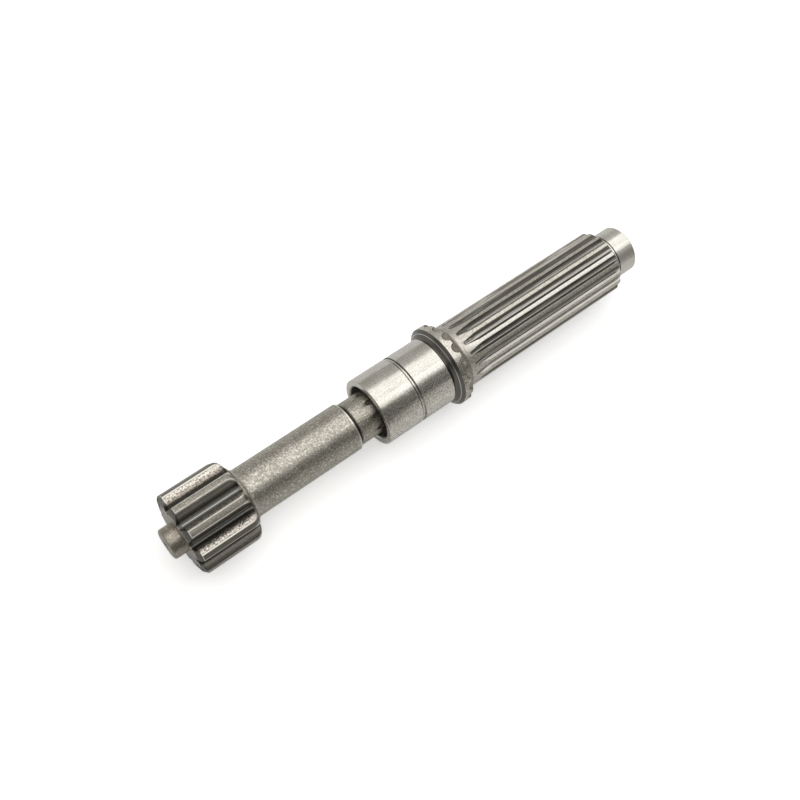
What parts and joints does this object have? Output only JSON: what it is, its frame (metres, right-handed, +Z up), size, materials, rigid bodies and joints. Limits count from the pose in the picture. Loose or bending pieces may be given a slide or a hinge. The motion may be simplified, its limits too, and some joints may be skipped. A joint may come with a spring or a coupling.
{
  "type": "travel motor shaft",
  "caption": "Splined motor drive shaft with a hollow end that carries a toothed sun gear shaft, for a hydraulic travel motor.",
  "frame": {"origin": "on the ground under the middle of the bounding box, so the shaft's axis is one collar radius above it", "axes": "+X along the shaft axis, from the sun gear towards the plain pilot end; +Z up as the shaft lies on its collar and on two teeth of the sun gear"},
  "size_m": [0.277, 0.0422, 0.0422],
  "materials": {
    "ground_steel": "fine ground bearing journals, as-hobbed spline with matte lands",
    "blasted_steel": "matte, shot-blasted after heat treatment"
  },
  "bodies": {
    "root": {"motor_shaft": "ground_steel", "sun_gear_shaft": "blasted_steel"}
  },
  "joints": []
}
